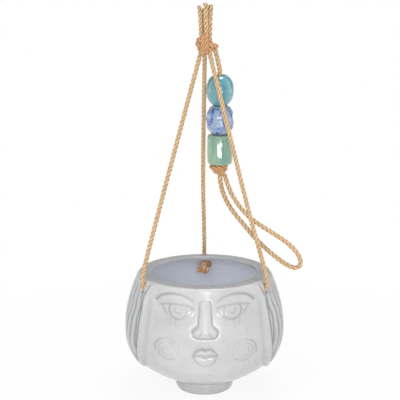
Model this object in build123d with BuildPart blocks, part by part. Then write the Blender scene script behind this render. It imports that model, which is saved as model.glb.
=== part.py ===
from build123d import *
import math
import os

# A ceramic hanging planter: a face bowl on three cords, with three beads and a hanging loop on a fourth.
# Millimetres, +Z up, the face looks along -Y. The origin is where the gathered cords are held, just above
# the knot that ties them, on the bowl's axis.

# Heights below the hold point
knot_drop = 9.0  # centre of the gathering knot
knot_to_rim = 212.5

# The bowl's wall, as radius and drop below the rim
mouth_radius = 48.9
lip_round = 1.7
shoulder_radius, shoulder_drop = 62.0, 0.7
shoulder_round = 1.8
upper_radius, upper_drop = 66.5, 14.0
belly_radius, belly_drop = 72.6, 51.0
hip_radius, hip_drop = 64.6, 80.0
haunch_radius, haunch_drop = 50.4, 92.0
base_radius, base_drop = 27.6, 103.2
wall = 5.5
floor_radius, floor_thickness = 20.0, 6.0
foot_radius = 25.0
foot_drop = 114.5
foot_ring_width = 6.0
foot_recess = 9.0
foot_round = 2.5
cavity_drops = [98.0, 89.0, 76.0, 56.0, 34.0, 19.0]  # where the cavity keeps the wall's thickness

# Raised hair round the sides and the back
hair_top_thickness = 0.8
hair_thickness = 2.3
hair_end_drop = 85.0
hair_drops = [upper_drop, 34.0, 60.0, hair_end_drop]
hair_depths = [hair_top_thickness, 1.5, hair_thickness, hair_thickness, hair_thickness - 0.3]
hair_root = 2.0  # how deep the hair's section reaches into the wall
lock_count = 32
lock_gap = 2.4
lock_gap_depth = 1.2
lock_top_drop = 15.0
hair_spare = 10.0  # how far the cuts between locks run on below the hair
parting_half_widths = [(43.0, 2.0), (49.8, 13.5), (54.0, 40.0), (55.8, 64.0), (54.5, 92.0)]

# Raised face, as places across and below the rim
relief_height = 0.9
relief_span = (0.02, 0.9)  # the part of the wall's outline that the face may stand on
nose_top_width, nose_bridge_width, nose_wing_width = 9.8, 13.0, 22.3
nose_top_drop, nose_bridge_drop, nose_wing_drop, nose_end_drop = 11.0, 32.5, 38.0, 43.0
nose_rise_top, nose_rise_tip, nose_rise_end = 1.2, 5.0, 3.0
lip_half_width = 11.2
lips_top_drop, lips_line_drop, lips_end_drop = 51.0, 59.2, 69.8
lip_rise = 2.6
brow_ends, brow_peak = [(10.6, 11.0), (45.0, 14.0)], (28.8, 5.6)
brow_width = 1.8
eye_corners, eye_upper, eye_lower = [(11.4, 14.6), (39.4, 14.8)], (25.5, 13.6), (24.2, 24.5)
cheek_across, cheek_drop = 34.5, 56.5
cheek_rings = [12.0, 8.0, 4.0]
cheek_ring_width = 1.6

# Cord holes and the stopper knots behind them
hole_azimuths = {"left": 210, "right": 330, "back": 90}
hole_drop = 9.5
hole_tilt = 20.0
hole_radius = 3.2
stopper_length, stopper_width = 17.4, 12.4
stopper_turn = -55.0
ball_share, ball_turn = 0.36, 70.0  # ball ends: radius as a share of the width, and where the barrel starts
stopper_flat = 1.5  # how much of a knot's side is cut off where it lies on the wall
seat_clearance = 0.9  # more than the wall's thickness, because the wall is curved there

# Cords
hanger_radius = 1.9
strand_radius = 2.2
strand_gap = 0.4  # between the two runs of the bead cord
knot_radius = 8.3
cord_clearance = 0.3  # between a knot and a cord that turns on it
cord_outside = 3.2  # from the wall to where a hanger cord turns into its hole
hanger_start_drop = 4.0  # below the knot's centre
hanger_starts = {"left": (-2.6, -1.4), "right": (3.6, -1.6), "back": (0.2, 3.1)}
hanger_kinks = {"left": (59.8, -194.4), "right": (62.6, -205.0), "back": (60.6, -197.0)}

# The gathering knot's front wrap
wrap_ring, wrap_radius, wrap_tilt = 7.4, 2.0, 20.0
wrap_start = 0.5  # how far in front of the knot's middle it starts

# Cut ends above the gathering knot: name, half thickness, place at the bottom, at mid height and at the top
cut_ends = [
    ("cut_end_front", strand_radius, (1.4, -3.7, -12.0), (1.2, -4.6, 10.0), (0.8, -4.4, 28.4)),
    ("cut_end_right", strand_radius, (4.4, -0.3, -12.0), (4.6, -0.7, 12.0), (5.7, -0.9, 26.6)),
    ("cut_end_right_rear", hanger_radius, (2.2, 3.6, -12.0), (2.6, 3.9, 9.0), (3.9, 4.3, 24.0)),
    ("cut_end_left_rear", hanger_radius, (-2.2, 2.9, -12.0), (-1.9, 3.6, 10.0), (-2.3, 4.0, 23.0)),
    ("cut_end_left", hanger_radius, (-2.8, -1.6, -12.0), (-3.2, -1.9, 8.0), (-4.9, -1.6, 25.8)),
]

# The bead cord: where it hangs from the gathering knot, and the beads on it from the top
strand_exit = Vector(9.5, 4.5, -13.6)
bead_axis = (14.2, 9.0)
strand_bend_z = -24.5
bead_stack_top = -38.3
bead_gap = 0.3
bead_bore = 4.9  # radius
turquoise_height, turquoise_radius, turquoise_end_radius, turquoise_round = 27.8, 12.05, 8.4, 2.5
blue_height, blue_radius, blue_end_radius, blue_round = 26.6, 12.4, 9.4, 2.5
green_height, green_radius, green_end_radius, green_round = 27.6, 11.6, 10.9, 3.0
bead_knot_length, bead_knot_width = 18.6, 10.6
bead_knot_across = -0.8  # how far its middle lies left of the beads' axis
knot_face_radius = 5.0

# The hanging loop's route from one end to the other, across its plane and up from the bead knot
loop_axis = (16.0, 9.0)
loop_turn = -25.0
loop_trim = 1.5  # its ends start this far inside the knot and are cut off below its flat face
loop_route = [
    (-1.2, -9.2), (3.2, -21.6), (11.2, -33.4), (22.2, -44.6), (31.8, -54.4), (41.2, -62.6),
    (50.4, -69.4), (60.0, -75.6), (69.4, -80.4), (77.0, -80.6), (80.4, -75.4), (77.8, -68.2),
    (71.8, -61.6), (63.2, -55.8), (52.8, -50.4), (42.0, -45.2), (31.4, -39.6), (21.8, -32.0),
    (13.8, -22.8), (7.4, -12.4),
]  # fmt: skip

rim_z = -(knot_drop + knot_to_rim)
knot_centre = Vector(0, 0, -knot_drop)
strand_pitch = 2 * strand_radius + strand_gap
turquoise_bottom = bead_stack_top - turquoise_height
blue_bottom = turquoise_bottom - bead_gap - blue_height
green_bottom = blue_bottom - bead_gap - green_height
bead_knot_top = green_bottom - bead_gap
bead_knot_middle = bead_knot_top - bead_knot_width / 2


def below_rim(radius, drop):
    """A point of the wall's section, on local X and Y."""
    return (radius, rim_z - drop)


# The outer wall's curve without hair, from the rim's edge to the foot
with BuildLine() as wall_line:
    Spline(
        below_rim(shoulder_radius, shoulder_drop),
        below_rim(upper_radius, upper_drop),
        below_rim(belly_radius, belly_drop),
        below_rim(hip_radius, hip_drop),
        below_rim(haunch_radius, haunch_drop),
        below_rim(base_radius, base_drop),
        tangents=[(0.25, -0.97), (-0.93, -0.36)],
    )
wall_edge = wall_line.line


def off_wall(share, distance):
    """The point at that share of the wall's curve, moved outwards by distance."""
    point, along = wall_edge @ share, wall_edge % share
    return (point.X - along.Y * distance, point.Y + along.X * distance)


def share_at(drop):
    """The share of the wall's curve that lies at that drop below the rim."""
    low, high = 0.0, 1.0
    for _ in range(40):
        middle = (low + high) / 2
        if (wall_edge @ middle).Y > rim_z - drop:
            low = middle
        else:
            high = middle
    return low


def shell_over_wall(inside, outside, first, last, steps=6):
    """A ring round the bowl between two distances from its wall, as a solid."""
    shares = [first + (last - first) * i / steps for i in range(steps + 1)]
    with BuildPart() as shell:
        with BuildSketch(Plane.XZ):
            with BuildLine():
                outer = Spline([off_wall(s, outside) for s in shares])
                inner = Spline([off_wall(s, inside) for s in shares])
                Line(outer @ 0, inner @ 0)
                Line(outer @ 1, inner @ 1)
            make_face()
        revolve(axis=Axis.Z)
    return shell.part


def corner_radii(route):
    """The largest radius that each corner's two runs allow: 0.45 of the shorter one over tan(turn / 2)."""
    points = [Vector(*p) for p in route]
    radii = []
    for before, at, after in zip(points, points[1:], points[2:]):
        turn = math.radians((at - before).get_angle(after - at))
        radii.append(0.45 * min((at - before).length, (after - at).length) / math.tan(turn / 2))
    return radii


def cord_tube(name, route, radius):
    """A round cord along straight runs joined by tangent arcs."""
    radii = corner_radii(route)
    with BuildPart() as tube:
        with BuildLine():
            path = FilletPolyline(*route, radius=radii)
        with BuildSketch(Plane(origin=path @ 0, z_dir=path % 0)):
            Circle(radius)
        sweep(path=path)
    share = tube.part.volume / (math.pi * radius**2 * path.length)
    print(f"{name}: length {path.length:.1f}, volume {share:.4f} of section times length, radii",
          [round(r, 1) for r in radii])  # fmt: skip
    return tube.part


def spindle(plane, length, width):
    """A rounded knot body, long along the plane's X: a barrel between two smaller ball ends."""
    ball_centre, ball_radius = length / 2 - ball_share * width, ball_share * width
    with BuildPart() as body:
        with BuildSketch(plane):
            with BuildLine():
                right = CenterArc((ball_centre, 0), ball_radius, 0, ball_turn)
                left = CenterArc((-ball_centre, 0), ball_radius, 180 - ball_turn, ball_turn)
                ThreePointArc(right @ 1, (0, width / 2), left @ 0)
                Line(left @ 1, right @ 0)
            make_face()
        revolve(axis=Axis(plane.origin, plane.x_dir))
    return body.part


def bead(bottom, height, radius, end_radius, rounding):
    """A bellied bead, bored through along the beads' axis, its ends' outer edges rounded."""
    with BuildPart() as body:
        with BuildSketch(Plane((*bead_axis, bottom), x_dir=(1, 0, 0), z_dir=(0, -1, 0))) as section:
            with BuildLine():
                side = ThreePointArc((end_radius, 0), (radius, height / 2), (end_radius, height))
                Polyline(side @ 1, (bead_bore, height), (bead_bore, 0), side @ 0)
            make_face()
            fillet(section.vertices().group_by(Axis.X)[-1], rounding)
        revolve(axis=Axis((*bead_axis, bottom), (0, 0, 1)))
    return body.part


def hole_plane(azimuth):
    """The plane of a cord hole's outer mouth: its Z points out of the bowl along the hole."""
    share = share_at(hole_drop)
    radius, height = off_wall(share, hair_top_thickness)
    turn, tilt = math.radians(azimuth), math.radians(hole_tilt)
    outward = Vector(math.cos(turn), math.sin(turn), 0)
    return Plane(
        origin=outward * radius + Vector(0, 0, height),
        x_dir=Vector(-math.sin(turn), math.cos(turn), 0),
        z_dir=outward * math.cos(tilt) + Vector(0, 0, math.sin(tilt)),
    )


seat_depth = wall + hair_top_thickness + seat_clearance  # from a hole's outer mouth to the stopper knot


def hair_section(less):
    """The section of the hair, thinner by less at its outside."""
    shares = [0.0, *[share_at(d) for d in hair_drops]]
    with BuildSketch(Plane.XZ) as section:
        with BuildLine():
            outer = Spline([off_wall(s, d - less) for s, d in zip(shares, hair_depths)])
            inner = Spline([off_wall(s, -hair_root) for s in shares])
            Line(outer @ 0, inner @ 0)
            Line(outer @ 1, inner @ 1)
        make_face()
    return section.sketch


# The hair: locks with gaps between them, open at the front where the face is
with BuildPart() as hair:
    revolve(hair_section(0), axis=Axis.Z)
    lock_bottom = hair_end_drop + hair_spare
    with Locations((0, 0, rim_z - (lock_top_drop + lock_bottom) / 2)):
        with PolarLocations(belly_radius, lock_count, start_angle=180 / lock_count):
            Box(belly_radius, lock_gap, lock_bottom - lock_top_drop, mode=Mode.SUBTRACT)
    revolve(hair_section(lock_gap_depth), axis=Axis.Z)
    with BuildSketch(Plane.XZ):
        with BuildLine():
            right = Spline([below_rim(x, d) for x, d in parting_half_widths])
            left = Spline([below_rim(-x, d) for x, d in parting_half_widths])
            top_left = below_rim(-parting_half_widths[0][0], -hair_spare)
            top_right = below_rim(parting_half_widths[0][0], -hair_spare)
            Polyline(left @ 0, top_left, top_right, right @ 0)
            low_left = below_rim(-parting_half_widths[-1][0], foot_drop)
            low_right = below_rim(parting_half_widths[-1][0], foot_drop)
            Polyline(left @ 1, low_left, low_right, right @ 1)
        make_face()
    extrude(amount=2 * belly_radius, mode=Mode.SUBTRACT)

# Brows, eyes and cheeks: outlines seen from the front, raised from the wall by the same height
with BuildPart() as face_relief:
    with BuildSketch(Plane.XZ):
        for side in (1, -1):
            inner_end, outer_end = brow_ends
            for lift, mode in ((brow_width / 2, Mode.ADD), (-brow_width / 2, Mode.SUBTRACT)):
                with BuildLine():
                    brow = ThreePointArc(
                        below_rim(side * inner_end[0], inner_end[1]),
                        below_rim(side * brow_peak[0], brow_peak[1] - lift),
                        below_rim(side * outer_end[0], outer_end[1]),
                    )
                    Line(brow @ 0, brow @ 1)
                make_face(mode=mode)
            near, far = eye_corners
            with BuildLine():
                lid = ThreePointArc(
                    below_rim(side * near[0], near[1]),
                    below_rim(side * eye_upper[0], eye_upper[1]),
                    below_rim(side * far[0], far[1]),
                )
                ThreePointArc(lid @ 0, below_rim(side * eye_lower[0], eye_lower[1]), lid @ 1)
            make_face()
            with Locations(below_rim(side * cheek_across, cheek_drop)):
                for ring in cheek_rings:
                    Circle(ring)
                    Circle(ring - cheek_ring_width, mode=Mode.SUBTRACT)
    extrude(amount=2 * belly_radius)
    add(shell_over_wall(-hair_root, relief_height, *relief_span), mode=Mode.INTERSECT)

# The nose: its front outline crossed with its side outline
with BuildPart() as nose:
    with BuildSketch(Plane.XZ):
        Polygon(
            below_rim(-nose_top_width / 2, nose_top_drop),
            below_rim(nose_top_width / 2, nose_top_drop),
            below_rim(nose_bridge_width / 2, nose_bridge_drop),
            below_rim(nose_wing_width / 2 - 1.5, nose_wing_drop - 3),
            below_rim(nose_wing_width / 2, nose_wing_drop),
            below_rim(nose_wing_width / 2 - 2.5, nose_end_drop),
            below_rim(-nose_wing_width / 2 + 2.5, nose_end_drop),
            below_rim(-nose_wing_width / 2, nose_wing_drop),
            below_rim(-nose_wing_width / 2 + 1.5, nose_wing_drop - 3),
            below_rim(-nose_bridge_width / 2, nose_bridge_drop),
            align=None,
        )
    extrude(amount=2 * belly_radius)
    with BuildSketch(Plane.YZ):
        with BuildLine():
            top_radius, top_z = off_wall(share_at(nose_top_drop), nose_rise_top)
            tip_radius, tip_z = off_wall(share_at(nose_wing_drop), nose_rise_tip)
            end_radius, end_z = off_wall(share_at(nose_end_drop), nose_rise_end)
            Polyline(
                (0, top_z),
                (-top_radius, top_z),
                (-tip_radius, tip_z),
                (-end_radius, end_z),
                (0, end_z),
                close=True,
            )
        make_face()
    extrude(amount=nose_wing_width, both=True, mode=Mode.INTERSECT)
    add(shell_over_wall(-hair_root, 2 * nose_rise_tip, *relief_span), mode=Mode.INTERSECT)

# The lips: two spindles half sunk in the wall
with BuildPart() as lips:
    for top, low in ((lips_top_drop, lips_line_drop), (lips_line_drop, lips_end_drop)):
        height = low - top
        radius, z = off_wall(share_at((top + low) / 2), lip_rise - height / 2)
        add(spindle(Plane((0, -radius, z), x_dir=(1, 0, 0), z_dir=(0, -1, 0)), 2 * lip_half_width, height))

# The bowl, one piece of ceramic
with BuildPart() as planter_bowl:
    with BuildSketch(Plane.XZ) as section:
        cavity_floor = below_rim(0, foot_drop - foot_recess - floor_thickness)
        with BuildLine():
            Line(cavity_floor, (floor_radius, cavity_floor[1]))
            Spline(
                (floor_radius, cavity_floor[1]),
                *[off_wall(share_at(d), -wall) for d in (*cavity_drops, hole_drop)],
                below_rim(mouth_radius + lip_round, 2 * lip_round),
                tangents=[(1, 0.1), (-1, 0.2)],
            )
            ThreePointArc(
                below_rim(mouth_radius + lip_round, 2 * lip_round),
                below_rim(mouth_radius, lip_round),
                below_rim(mouth_radius + lip_round, 0),
            )
            Line(below_rim(mouth_radius + lip_round, 0), below_rim(shoulder_radius, shoulder_drop))
            add(wall_edge)
            Polyline(
                below_rim(base_radius, base_drop),
                below_rim(foot_radius, foot_drop),
                below_rim(foot_radius - foot_ring_width, foot_drop),
                below_rim(foot_radius - foot_ring_width - 1, foot_drop - foot_recess),
                below_rim(0, foot_drop - foot_recess),
                cavity_floor,
            )
        make_face()
        for corner, rounding in (
            (below_rim(shoulder_radius, shoulder_drop), shoulder_round),
            (below_rim(foot_radius, foot_drop), foot_round),
        ):
            fillet(section.vertices().sort_by_distance(Vector(*corner))[0], rounding)
    revolve(axis=Axis.Z)
    add(hair.part)
    add(face_relief.part)
    add(nose.part)
    add(lips.part)
    for azimuth in hole_azimuths.values():
        with Locations(hole_plane(azimuth)):
            Cylinder(hole_radius, 4 * wall, mode=Mode.SUBTRACT)

# The gathering knot: a round body with one turn of cord across its front
with BuildPart() as front_wrap:
    with Locations(Location(knot_centre, (0, wrap_tilt, 0))):
        Torus(wrap_ring, wrap_radius)
    with BuildSketch(Plane.XZ.offset(wrap_start)):
        with Locations((0, -knot_drop)):
            Circle(2 * wrap_ring)
    extrude(amount=-2 * wrap_ring, mode=Mode.SUBTRACT)

with BuildPart() as gathering_knot:
    with Locations(knot_centre):
        Sphere(knot_radius)
    add(front_wrap.part)

# The hanger cords: from the knot straight down to a kink above the rim, then round the rim into the hole
hangers, stoppers = {}, {}
for side, azimuth in hole_azimuths.items():
    mouth = hole_plane(azimuth)
    seat = mouth.offset(-seat_depth)
    outward = Vector(math.cos(math.radians(azimuth)), math.sin(math.radians(azimuth)), 0)
    kink_radius, kink_z = hanger_kinks[side]
    route = [
        Vector(*hanger_starts[side], knot_centre.Z - hanger_start_drop),
        outward * kink_radius + Vector(0, 0, kink_z),
        mouth.origin + mouth.z_dir * cord_outside,
        seat.origin,
    ]
    with BuildPart() as hanger_cord:
        add(cord_tube(f"hanger_cord_{side}", route, hanger_radius))
        with Locations(knot_centre):
            Sphere(knot_radius + cord_clearance, mode=Mode.SUBTRACT)
    hangers[side] = hanger_cord.part

    along = seat.x_dir.rotate(Axis((0, 0, 0), seat.z_dir), stopper_turn)
    middle = seat.origin - seat.z_dir * (stopper_width / 2 - stopper_flat)
    with BuildPart() as stopper_knot:
        add(spindle(Plane(middle, x_dir=along, z_dir=seat.z_dir), stopper_length, stopper_width))
        with BuildSketch(seat):
            Circle(stopper_length)
        extrude(amount=stopper_width, mode=Mode.SUBTRACT)
    stoppers[side] = stopper_knot.part

# The cut ends that stick up out of the gathering knot
ends = {}
for name, radius, *route in cut_ends:
    with BuildPart() as cut_end:
        add(cord_tube(name, route, radius))
        with Locations(knot_centre):
            Sphere(knot_radius + cord_clearance, mode=Mode.SUBTRACT)
    ends[name] = cut_end.part

# The two runs of the bead cord, one behind the other, from the gathering knot through the beads
bead_cords = {}
for name, shift in (("bead_cord_front", -strand_pitch / 2), ("bead_cord_rear", strand_pitch / 2)):
    aside = Vector(0, shift, 0)
    route = [
        strand_exit + aside,
        Vector(*bead_axis, strand_bend_z) + aside,
        Vector(*bead_axis, bead_knot_top) + aside,
    ]
    with BuildPart() as bead_cord:
        add(cord_tube(name, route, strand_radius))
        with Locations(route[0]):
            Sphere(strand_radius)
    bead_cords[name] = bead_cord.part

# The beads
with BuildPart() as bead_turquoise:
    add(bead(turquoise_bottom, turquoise_height, turquoise_radius, turquoise_end_radius, turquoise_round))

with BuildPart() as bead_blue:
    add(bead(blue_bottom, blue_height, blue_radius, blue_end_radius, blue_round))

with BuildPart() as bead_green:
    add(bead(green_bottom, green_height, green_radius, green_end_radius, green_round))

# The knot below the beads: a flat round face under the last bead, and one above the loop's two ends
with BuildPart() as bead_knot:
    middle = Vector(bead_axis[0] + bead_knot_across, bead_axis[1], bead_knot_middle)
    add(spindle(Plane(middle, x_dir=(1, 0, 0), z_dir=(0, -1, 0)), bead_knot_length, bead_knot_width))
    with BuildSketch(Plane.XY.offset(bead_knot_middle)):
        with Locations(bead_axis):
            Circle(knot_face_radius)
    extrude(amount=bead_knot_width / 2)
    with BuildSketch(Plane.XY.offset(bead_knot_middle)):
        with Locations(loop_axis):
            Circle(knot_face_radius)
    extrude(amount=-bead_knot_width / 2)

# The hanging loop, in an upright plane turned about its axis
loop_plane = Plane(
    origin=(*loop_axis, bead_knot_middle - bead_knot_width / 2),
    x_dir=Vector(1, 0, 0).rotate(Axis.Z, loop_turn),
    z_dir=Vector(0, -1, 0).rotate(Axis.Z, loop_turn),
)
with BuildPart() as hanging_loop:
    start, end = [(side * strand_pitch / 2, loop_trim) for side in (-1, 1)]
    route = [loop_plane.from_local_coords((*point, 0)) for point in (start, *loop_route, end)]
    add(cord_tube("hanging_loop", route, strand_radius))
    with BuildSketch(Plane.XY.offset(loop_plane.origin.Z - cord_clearance)):
        with Locations(loop_axis):
            Circle(2 * knot_face_radius)
    extrude(amount=knot_face_radius, mode=Mode.SUBTRACT)

pieces = {
    "planter_bowl": planter_bowl.part,
    "gathering_knot": gathering_knot.part,
    **{f"hanger_cord_{side}": part for side, part in hangers.items()},
    **{f"stopper_knot_{side}": part for side, part in stoppers.items()},
    **ends,
    **bead_cords,
    "bead_turquoise": bead_turquoise.part,
    "bead_blue": bead_blue.part,
    "bead_green": bead_green.part,
    "bead_knot": bead_knot.part,
    "hanging_loop": hanging_loop.part,
}
os.makedirs("parts", exist_ok=True)
for name, part in pieces.items():
    part.label = name
    export_step(part, f"parts/{name}.step")
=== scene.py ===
"""The looks of the hanging planter: glazed face bowl, twisted jute cords, three glazed beads."""
import math

import bpy
import numpy as np
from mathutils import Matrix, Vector


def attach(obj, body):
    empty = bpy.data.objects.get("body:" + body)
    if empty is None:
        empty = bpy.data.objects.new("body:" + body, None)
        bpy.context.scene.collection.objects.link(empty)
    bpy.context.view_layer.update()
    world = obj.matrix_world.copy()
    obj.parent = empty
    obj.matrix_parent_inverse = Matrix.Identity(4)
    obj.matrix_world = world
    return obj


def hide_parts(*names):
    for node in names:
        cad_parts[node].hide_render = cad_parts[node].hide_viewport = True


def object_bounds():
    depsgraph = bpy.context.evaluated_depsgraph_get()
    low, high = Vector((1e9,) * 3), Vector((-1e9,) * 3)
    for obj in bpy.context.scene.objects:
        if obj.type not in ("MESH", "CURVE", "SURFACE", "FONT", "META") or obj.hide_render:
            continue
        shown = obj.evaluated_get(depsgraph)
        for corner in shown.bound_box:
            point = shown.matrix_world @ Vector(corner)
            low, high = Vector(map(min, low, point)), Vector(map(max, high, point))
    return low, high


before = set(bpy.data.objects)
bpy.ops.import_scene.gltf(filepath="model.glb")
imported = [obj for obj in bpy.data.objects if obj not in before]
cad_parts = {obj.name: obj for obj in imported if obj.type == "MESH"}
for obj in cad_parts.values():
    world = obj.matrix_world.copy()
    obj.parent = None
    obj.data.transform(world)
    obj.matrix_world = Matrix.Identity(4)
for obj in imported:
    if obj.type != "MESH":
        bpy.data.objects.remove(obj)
cad_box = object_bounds()

# Sizes and places are in millimetres, heights from the hold point, until they go into Blender
MM = 0.001
RIM_Z = -221.5

# Cords
HANGER_RADIUS = 1.9
HANGER_FULLNESS = 0.2  # how far the plies stand past the plain cord
STRAND_RADIUS = 2.2
STRAND_SHIFT = 2.4
RING_STEP = 0.7
PLIES = 3
PLY_SIDES = 10
PLY_FULLNESS, PLY_WIDTH = 1.06, 1.12
PLY_WAVER, WAVER_PER_MM = 0.05, 1.9
PLY_WAVER_SHIFT = 2.1
CORD_LAY = 3.1  # thicknesses of cord to one full twist
FRAY_LENGTH, FRAY_SPREAD, FRAY_THINNING = 7.0, 0.45, 0.35
PATTERN_LENGTH = 4.0  # how much cord one unit of its UV map covers

# Loose fibres
FIBRE_THICKNESS = 0.045
FIBRE_BEND, FIBRE_TIP = (0.10, 0.45), (0.50, 0.80)  # places across and up, as shares of a fibre's length
FIBRE_TILT = 0.9
FIBRE_SHORTEST = 0.35
FIBRE_SEED = 11

# The gathering knot
KNOT_MIDDLE = np.array((0.0, 0.0, -9.0))
KNOT_STRANDS, KNOT_STRAND_CORD = 6, 2.1
KNOT_HEIGHT = 15.4
KNOT_NECK, KNOT_BULGE, KNOT_TWIST = 1.9, 3.5, 0.7
KNOT_TURNS = ((2.0, 1.7, 8.5, 6.3), (1.5, -1.9, 7.7, 6.4))  # place across and up, half width and depth
KNOT_TURN_CORD, KNOT_TURN_TILT = 2.2, 19.0
DRAWN_STRANDS = ((-2.6, -1.2), (0.9, 1.6))  # places across at the bottom and at the top
DRAWN_CORD, DRAWN_DEPTH, DRAWN_BULGE, DRAWN_HEIGHT = 2.0, 3.4, 5.2, 17.0

# Cord holes, and the stopper knots behind them
HOLES = {"left": 210.0, "right": 330.0, "back": 90.0}
HOLE_TILT = 20.0
HOLE_RADIUS = 3.2
HOLE_MOUTH = (65.61, -230.72)  # distance from the bowl's axis, and height, as for the seat
HOLE_ENDS = (9.0, -11.0)  # distances from the mouth, outwards
HOLE_SIDES = 40
STOPPER_SEAT = (58.85, -233.19)
STOPPER_DEPTH, STOPPER_LIFT = 5.2, 1.2
STOPPER_SPIN = 52.0
STOPPER_LENGTH, STOPPER_TURNS, STOPPER_START, STOPPER_COIL = 12.5, 1.5, 1.1, 2.7
STOPPER_CORD, STOPPER_LAY = 3.1, 1.9
CORE_LENGTH, CORE_CORD = 9.0, 2.3

# Beads and their knot
BEAD_X, BEAD_Y = 14.2, 9.0
BEAD_BORE = 4.9
BEAD_COLUMNS, BEAD_ROWS, BORE_ROWS = 144, 96, 24
BEAD_KNOT_MIDDLE = (13.4, 9.0, -125.8)
BAND_MIDDLE, BAND_HALF, BAND_CORD = (13.0, 9.0, -126.4), (6.6, 3.6), 2.1
WRAP_MIDDLE, WRAP_TILT = (16.2, 9.0, -127.3), -32.0


class Wire:
    """A socket of a finish that takes part in sums."""

    def __init__(self, finish, socket):
        self.finish = finish
        self.socket = socket

    def sum(self, operation, first, second):
        return self.finish.node("ShaderNodeMath", {"operation": operation}, {0: first, 1: second})

    def __add__(self, other):
        return self.sum("ADD", self, other)

    __radd__ = __add__

    def __mul__(self, other):
        return self.sum("MULTIPLY", self, other)

    __rmul__ = __mul__

    def __sub__(self, other):
        return self.sum("SUBTRACT", self, other)

    def __rsub__(self, other):
        return self.sum("SUBTRACT", other, self)


class Finish:
    """A material or a world, with one method that makes its nodes."""

    def __init__(self, name, new=bpy.data.materials.new):
        self.owner = new(name)
        self.owner.use_nodes = True
        self.tree = self.owner.node_tree
        self.tree.nodes.clear()

    def node(self, kind, settings=None, sockets=None, out=0):
        made = self.tree.nodes.new(kind)
        for name, value in (settings or {}).items():
            if name == "stops":
                ramp = made.color_ramp
                while len(ramp.elements) < len(value):
                    ramp.elements.new(0.5)
                for element, (place, colour) in zip(ramp.elements, value):
                    element.position = place
                    element.color = colour
            else:
                setattr(made, name, value)
        for name, value in (sockets or {}).items():
            if isinstance(value, Wire):
                self.tree.links.new(value.socket, made.inputs[name])
            else:
                made.inputs[name].default_value = value
        if not len(made.outputs):
            return None
        return Wire(self, made.outputs[out])

    def place(self):
        return self.node("ShaderNodeTexCoord", out="Object")

    def mark(self, name):
        """One of the piece's own attributes."""
        return self.node("ShaderNodeAttribute", {"attribute_name": name}, out="Fac")

    def noise(self, vector, scale, detail=2.0, rough=0.5, distort=0.0):
        return self.node("ShaderNodeTexNoise", {}, {
            "Vector": vector,
            "Scale": scale,
            "Detail": detail,
            "Roughness": rough,
            "Distortion": distort,
        })

    def mix(self, share, first, second):
        return self.node("ShaderNodeMix", {"data_type": "RGBA"}, {0: share, 6: first, 7: second}, out=2)

    def ramp(self, value, stops):
        """A value read through grey stops."""
        return self.node("ShaderNodeValToRGB", {"stops": [(p, (v, v, v, 1)) for p, v in stops]}, {0: value})

    def bump(self, strength, distance, height):
        return self.node("ShaderNodeBump", {}, {"Strength": strength, "Distance": distance, "Height": height})

    def close(self, sockets):
        surface = self.node("ShaderNodeBsdfPrincipled", {}, sockets)
        self.node("ShaderNodeOutputMaterial", {}, {"Surface": surface})
        return self.owner


def shade(red, green, blue):
    """A colour as it is seen on a screen, made ready for the shader."""
    return tuple(((v / 255 + 0.055) / 1.055) ** 2.4 for v in (red, green, blue)) + (1.0,)


def bowl_glaze():
    """Pale grey glaze: darker where it pools in the grooves, with painted shade there and in other shaded
    spots; painted lighter and cooler inside in place of light; greyer on the rim, from thin glaze and painted
    shade on its top.
    """
    finish = Finish("bowl_glaze")
    place = finish.place()
    cloud = finish.ramp(finish.noise(place, 38.0, 3.0, 0.55), [(0.35, 0.0), (0.65, 1.0)])
    colour = finish.mix(cloud, shade(183, 183, 184), shade(194, 194, 194))
    # Painted light: the inside is coloured lighter and cooler than the outside glaze, standing in for light
    # inside the bowl.
    colour = finish.mix(finish.mark("inside") * 0.95, colour, shade(244, 247, 254))
    # Rim painted greyer: partly thin glaze at the edge, partly painted shade on the rim's upward-facing top.
    colour = finish.mix(finish.mark("lip") * 0.85, colour, shade(150, 151, 156))
    # Darker in the grooves: glaze pooling, plus painted shade in them, on the rim's inner edge, beside the
    # hair band and under the hair's end.
    colour = finish.mix(finish.mark("hollow") * 0.75, colour, shade(118, 120, 124))
    return finish.close({
        "Base Color": colour,
        "Roughness": finish.noise(place, 160.0) * 0.10 + 0.24,
        "Coat Weight": 0.35,
        "Coat Roughness": 0.16,
        "IOR": 1.5,
        "Normal": finish.bump(0.12, 0.0003, finish.noise(place, 260.0)),
    })


def bead_glaze(name, base, pale, deep, scale, blobs, streak):
    """Glaze of a bead: clouds and blobs drawn out down the bead, and paler where it is thin at the ends."""
    finish = Finish(name)
    place = finish.place()
    stretched = finish.node("ShaderNodeMapping", {}, {"Vector": place, "Scale": (1.0, 1.0, streak)})
    cloud = finish.noise(stretched, scale, 4.0, 0.6, 0.6)
    blob = finish.noise(stretched, scale * 1.7, 3.0, 0.6, 0.8)
    colour = finish.mix(finish.ramp(cloud, [(0.36, 0.0), (0.64, 1.0)]), base, pale)
    colour = finish.mix(finish.ramp(blob, [(0.50, 0.0), (0.60, blobs)]), colour, deep)
    colour = finish.mix(finish.mark("edge") * 0.6, colour, pale)
    pits = finish.node("ShaderNodeTexVoronoi", {}, {"Vector": place, "Scale": 420.0})
    return finish.close({
        "Base Color": colour,
        "Roughness": cloud * 0.15 + 0.12,
        "Coat Weight": 1.0,
        "Coat Roughness": 0.04,
        "Normal": finish.bump(0.2, 0.0003, cloud + pits * 0.3),
    })


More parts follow.
